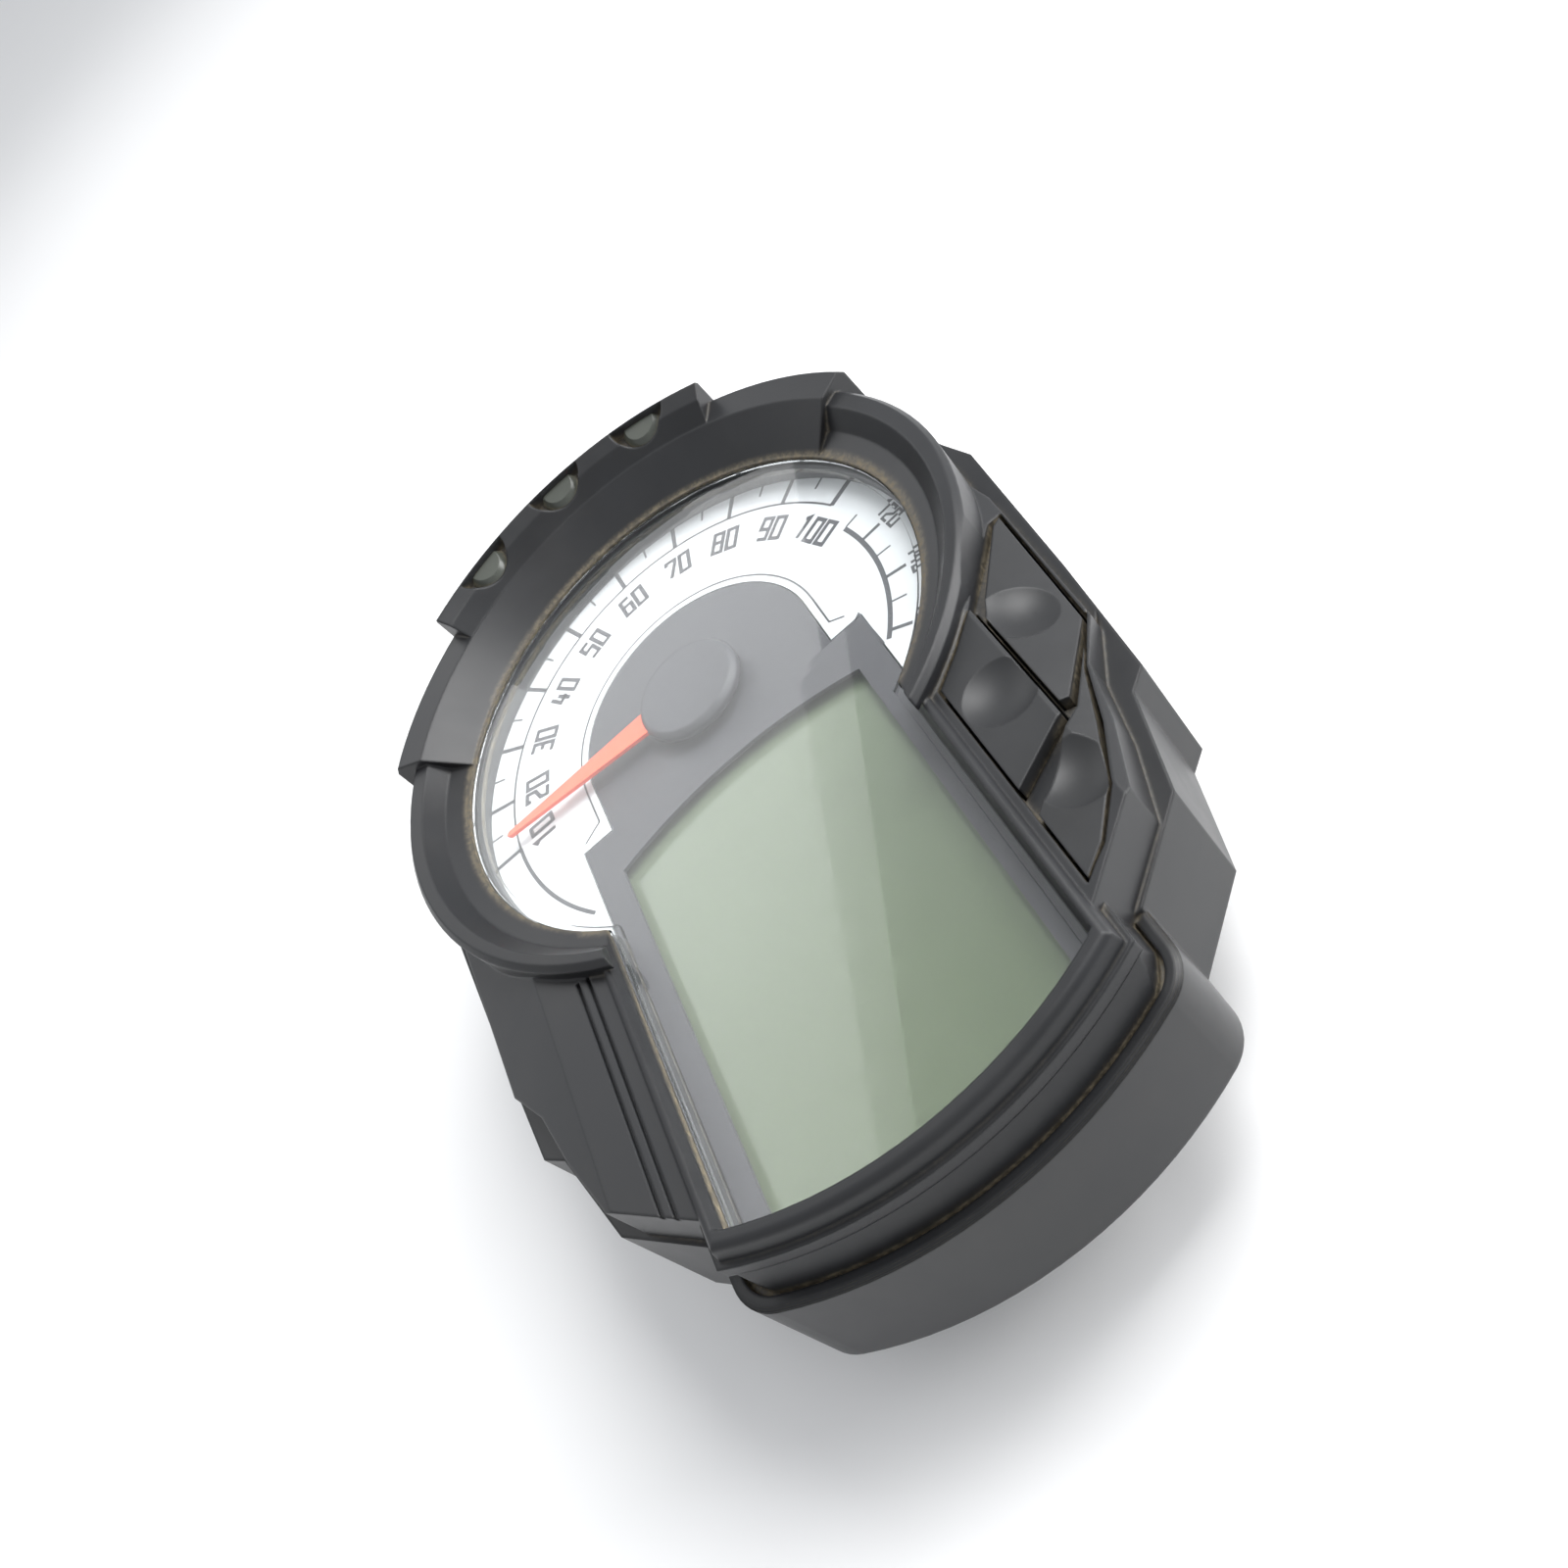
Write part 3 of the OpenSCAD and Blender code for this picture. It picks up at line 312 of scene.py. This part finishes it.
def stroke(bm, points, width, closed=False):
    """A flat raised line of ink with mitred corners along the points, given in millimetres."""
    count = len(points)
    rails = []
    for i, p in enumerate(points):
        before = points[i - 1] if i or closed else None
        after = points[(i + 1) % count] if i < count - 1 or closed else None
        sides = []
        if before is not None:
            sides.append((p - before).normalized().orthogonal())
        if after is not None:
            sides.append((after - p).normalized().orthogonal())
        middle = sum(sides, Vector((0, 0))).normalized()
        reach = width / 2 / max(0.4, middle.dot(sides[0]))
        rails.append((p + middle * reach, p - middle * reach))
    rings = []
    for left, right in rails:
        ring = []
        for q, z in ((left, INK_LOW), (right, INK_LOW), (right, INK_HIGH), (left, INK_HIGH)):
            ring.append(bm.verts.new((DIAL_X + q.x * MM, DIAL_Y + q.y * MM, DIAL_Z + z)))
        rings.append(ring)
    pairs = list(zip(rings, rings[1:]))
    if closed:
        pairs.append((rings[-1], rings[0]))
    for a, b in pairs:
        for k in range(4):
            bm.faces.new((a[k], a[(k + 1) % 4], b[(k + 1) % 4], b[k]))
    if not closed:
        bm.faces.new(rings[0][::-1])
        bm.faces.new(rings[-1])


# Squared figures on a grid two wide and four high, each as one or two strokes
FIGURES = {
    "0": [[(0, 0), (2, 0), (2, 4), (0, 4)]],
    "1": [[(0.3, 3.5), (1.2, 4), (1.2, 0)]],
    "2": [[(0, 3.2), (0, 4), (2, 4), (2, 2.4), (0, 1.3), (0, 0), (2.1, 0)]],
    "3": [[(0, 4), (2, 4), (2, 0), (0, 0)], [(0.6, 2.1), (1.7, 2.1)]],
    "4": [[(0.3, 4), (0, 1.4), (2.1, 1.4)], [(1.4, 2.9), (1.4, 0)]],
    "5": [[(2, 4), (0, 4), (0, 2.3), (2, 2.3), (2, 0), (0, 0)]],
    "6": [[(2, 4), (0, 4), (0, 0), (2, 0), (2, 2.3), (0.3, 2.3)]],
    "7": [[(0, 3.2), (0, 4), (2, 4), (2, 3.2), (0.9, 0)]],
    "8": [[(0, 0), (2, 0), (2, 4), (0, 4)], [(0.3, 2.1), (1.7, 2.1)]],
    "9": [[(0, 0), (2, 0), (2, 4), (0, 4), (0, 1.9), (1.7, 1.9)]],
}


# Shares of a figure's height: its width, the gap to the next and the width of its strokes
FIGURE_WIDTH = 0.42
FIGURE_GAP = 0.24
FIGURE_PEN = 0.18


def figure_text(bm, text, radius, degrees, height):
    """Figures whose tops point outwards, centred on a point of the dial."""
    unit_y = height / 4
    unit_x = height * FIGURE_WIDTH / 2
    pitch = unit_x * 2 + height * FIGURE_GAP
    centre = on_circle(radius, degrees)
    turn = Matrix.Rotation(math.radians(-degrees), 2)
    for i, character in enumerate(text):
        start = (i - (len(text) - 1) / 2) * pitch - unit_x
        for path in FIGURES[character]:
            points = [
                centre + turn @ Vector((start + x * unit_x, (y - 2) * unit_y)) for x, y in path
            ]
            closed = character in "08" and len(path) == 4 and path[0] == (0, 0)
            stroke(bm, points, height * FIGURE_PEN, closed=closed)


def ink_object(name, bm, material=INK, body="case"):
    bmesh.ops.recalc_face_normals(bm, faces=bm.faces)
    mesh = bpy.data.meshes.new(name)
    bm.to_mesh(mesh)
    bm.free()
    ob = bpy.data.objects.new(name, mesh)
    bpy.context.scene.collection.objects.link(ob)
    ob.data.materials.append(material)
    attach(ob, body)
    return ob


# Dial print, in millimetres and in degrees clockwise from twelve o'clock
SCALE_R = 44.0
EDGE_R = 51.5
HALF_TICK_R = 47.2
FIRST = -89.3
STEP = 17.34
COUNT = 10
LAST = FIRST + STEP * (COUNT - 1)
LEAD_IN = -128
FIGURES_R = 38.2
FIGURES_HEIGHT = 5.0
FINE = 0.45
BOLD = 0.95

bm = bmesh.new()
stroke(bm, arc(SCALE_R, LEAD_IN, FIRST), 0.8)
stroke(bm, arc(SCALE_R, FIRST, LAST), FINE)
for i in range(COUNT):
    angle = FIRST + STEP * i
    stroke(bm, [on_circle(SCALE_R, angle), on_circle(EDGE_R, angle)], BOLD if i < COUNT - 1 else 1.15)
    if i < COUNT - 1:
        half = angle + STEP / 2
        stroke(bm, [on_circle(HALF_TICK_R, half), on_circle(EDGE_R, half)], FINE)
ink_object("DialScale", bm)

bm = bmesh.new()
for i in range(COUNT):
    figure_text(bm, str(10 * (i + 1)), FIGURES_R, FIRST + STEP * i, FIGURES_HEIGHT)
ink_object("DialFigures", bm)

INNER_R = 40.6
INNER_FIRST, INNER_LAST = 77.0, 124.0
bm = bmesh.new()
stroke(bm, arc(INNER_R, INNER_FIRST, INNER_LAST), 1.0)
for i in range(6):
    angle = INNER_FIRST + (INNER_LAST - INNER_FIRST) * i / 5.3
    long = i % 2
    stroke(bm, [on_circle(INNER_R + 0.4, angle), on_circle(INNER_R + (4.4 if long else 3.4), angle)],
           0.75 if long else 0.4)
    if long:
        figure_text(bm, str(120 + 10 * (i - 1)), 47.6, angle, 3.3)
ink_object("InnerScale", bm)

# Thin line that follows the grey mask, with a step at its right end
MASK_R = 27.3
bm = bmesh.new()
neck = [Vector((-31.5, -11.0)), Vector((-MASK_R, -8.6))] + arc(MASK_R, -90, 90, 5)
neck += [Vector((MASK_R, -8.6)), Vector((30.0, -10.2))]
stroke(bm, neck, 0.4)
stroke(bm, [Vector((29.6, -14.0)), Vector((32.2, -12.2)), Vector((32.6, -22.7))], 0.4)
ink_object("MaskLine", bm)


# ---------------------------------------------------------------- floor, light, camera
def plain(name, colour, roughness):
    g = Graph(name)
    base = g.mix(g.noise(8.0), rgb(*[c * 0.985 for c in colour]), rgb(*colour))
    g.link(base, g.shader.inputs["Base Color"])
    return g.set(Roughness=roughness).material


bpy.ops.mesh.primitive_plane_add(size=6.0, location=(0, 0, LOW[2]))
floor = bpy.context.object
floor.name = "Floor"
dress(floor, plain("FloorPaint", (0.86, 0.86, 0.86), 0.7))

world = bpy.data.worlds.new("Studio")
world.use_nodes = True
world.node_tree.nodes["Background"].inputs[0].default_value = rgb(0.95, 0.97, 1.0)
world.node_tree.nodes["Background"].inputs[1].default_value = 0.7
bpy.context.scene.world = world
bpy.context.scene.view_settings.view_transform = "Standard"


def lamp(name, place, target, size, power, roll=0.0):
    data = bpy.data.lights.new(name, "AREA")
    data.shape = "RECTANGLE"
    data.size, data.size_y = size
    data.energy = power
    ob = bpy.data.objects.new(name, data)
    ob.location = place
    facing = (Vector(target) - Vector(place)).to_track_quat("-Z", "Y").to_matrix()
    ob.rotation_euler = (facing @ Matrix.Rotation(math.radians(roll), 3, "Z")).to_euler()
    bpy.context.scene.collection.objects.link(ob)


AIM = Vector((4.3, -17.5, 46.0)) * MM
# The back light lays a pale sheen over the left part of the window, and its roll sets the sheen's edge.
lamp("KeyLight", (0.55, 0.25, 0.95), AIM, (0.6, 0.6), 11.0)
lamp("BackLight", (-0.311, 0.809, 0.715), (0.294, 0.171, 0.141), (1.0, 0.453), 1.75, roll=27.3)
lamp("SideLight", (0.75, -0.05, 0.3), AIM, (0.5, 0.4), 6.0)

EYE = Vector((42.4, -191.0, 207.6)) * MM
ROLL = 48.6
camera_data = bpy.data.cameras.new("Camera")
camera_data.sensor_width = 36.0
camera_data.lens = 34.3
camera_data.shift_x = -0.011
camera_data.shift_y = 0.026
camera_data.clip_start = 0.01
camera = bpy.data.objects.new("Camera", camera_data)
bpy.context.scene.collection.objects.link(camera)
camera.location = EYE
look = (AIM - EYE).to_track_quat("-Z", "Y").to_matrix()
camera.rotation_euler = (look @ Matrix.Rotation(math.radians(-ROLL), 3, "Z")).to_euler()
bpy.context.scene.camera = camera
